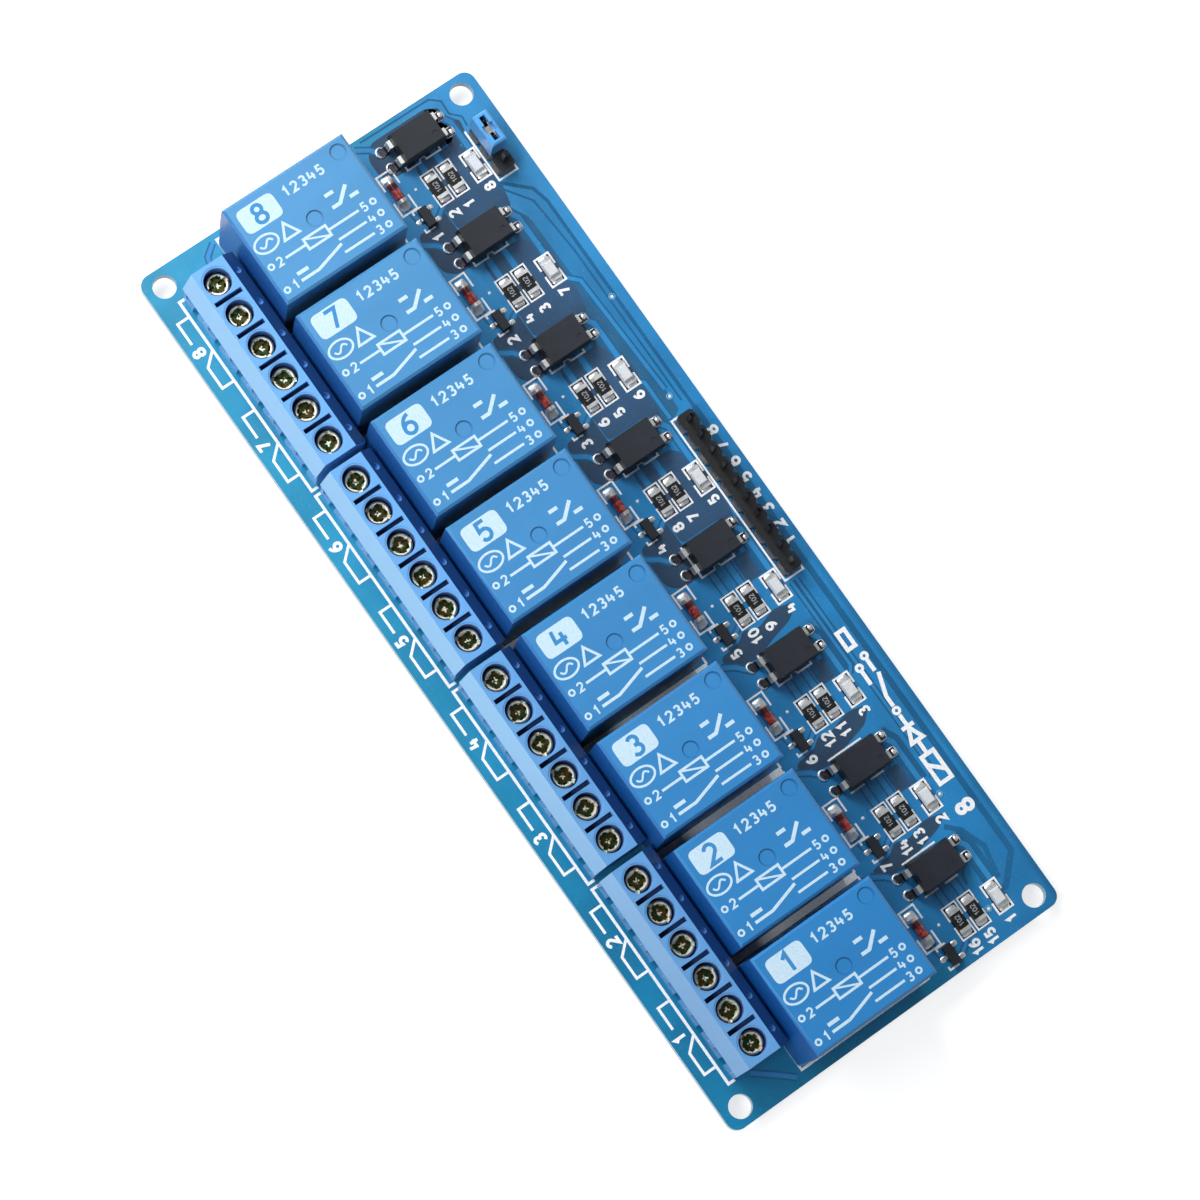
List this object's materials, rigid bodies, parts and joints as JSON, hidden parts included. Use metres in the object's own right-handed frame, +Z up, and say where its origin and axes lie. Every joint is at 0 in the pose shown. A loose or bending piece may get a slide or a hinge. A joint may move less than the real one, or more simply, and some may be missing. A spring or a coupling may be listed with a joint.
{
  "type": "relay module board",
  "caption": "Blue circuit board with a row of sealed relays, blocks of screw terminals along one long edge, and optocouplers, small driver parts and pin headers along the other.",
  "frame": {"origin": "middle of the four mounting holes, on the underside of the circuit board", "axes": "X along the board from channel 8 to channel 1, Y from the screw terminals to the pin headers, Z up through the relays"},
  "size_m": [0.135, 0.053, 0.0191],
  "materials": {
    "circuit_board": "glossy lacquer over copper tracks",
    "relay_cover": "satin",
    "relay_base": "satin",
    "coupler_body": "fine matt",
    "tinned_lead": "tinned",
    "terminal_housing": "satin",
    "terminal_screw": "plated",
    "clamp_metal": "plated",
    "contact_metal": "tinned",
    "transistor_body": "fine matt",
    "diode_glass": "clear",
    "end_cap": "tinned",
    "resistor_body": "glazed",
    "indicator_base": "satin",
    "indicator_lens": "clear resin",
    "header_plastic": "satin",
    "header_pin": "plated",
    "jumper_cap": "satin",
    "solder": "bright solder"
  },
  "bodies": {
    "root": {"board": "circuit_board", "relay_cover_1": "relay_cover", "relay_base_1": "relay_base", "optocoupler_1": "coupler_body", "relay_cover_2": "relay_cover", "relay_base_2": "relay_base", "optocoupler_2": "coupler_body", "relay_cover_3": "relay_cover", "relay_base_3": "relay_base", "optocoupler_3": "coupler_body", "relay_cover_4": "relay_cover", "relay_base_4": "relay_base", "optocoupler_4": "coupler_body", "relay_cover_5": "relay_cover", "relay_base_5": "relay_base", "optocoupler_5": "coupler_body", "relay_cover_6": "relay_cover", "relay_base_6": "relay_base", "optocoupler_6": "coupler_body", "relay_cover_7": "relay_cover", "relay_base_7": "relay_base", "optocoupler_7": "coupler_body", "relay_cover_8": "relay_cover", "relay_base_8": "relay_base", "optocoupler_8": "coupler_body", "relay_pins": "tinned_lead", "terminal_block_1": "terminal_housing", "terminal_screws_1": "terminal_screw", "clamp_cages_1": "clamp_metal", "terminal_contacts_1": "contact_metal", "terminal_block_2": "terminal_housing", "terminal_screws_2": "terminal_screw", "clamp_cages_2": "clamp_metal", "terminal_contacts_2": "contact_metal", "terminal_block_3": "terminal_housing", "terminal_screws_3": "terminal_screw", "clamp_cages_3": "clamp_metal", "terminal_contacts_3": "contact_metal", "terminal_block_4": "terminal_housing", "terminal_screws_4": "terminal_screw", "clamp_cages_4": "clamp_metal", "terminal_contacts_4": "contact_metal", "optocoupler_leads": "tinned_lead", "transistors": "transistor_body", "transistor_leads": "tinned_lead", "diode_glass": "diode_glass", "diode_caps": "end_cap", "resistors": "resistor_body", "resistor_caps": "end_cap", "indicator_bases": "indicator_base", "indicator_caps": "end_cap", "indicator_lenses": "indicator_lens", "input_header": "header_plastic", "input_header_pins": "header_pin", "power_header": "header_plastic", "power_header_pins": "header_pin", "jumper_cap": "jumper_cap", "jumper_clip": "tinned_lead", "solder_joints": "solder"}
  },
  "joints": []
}
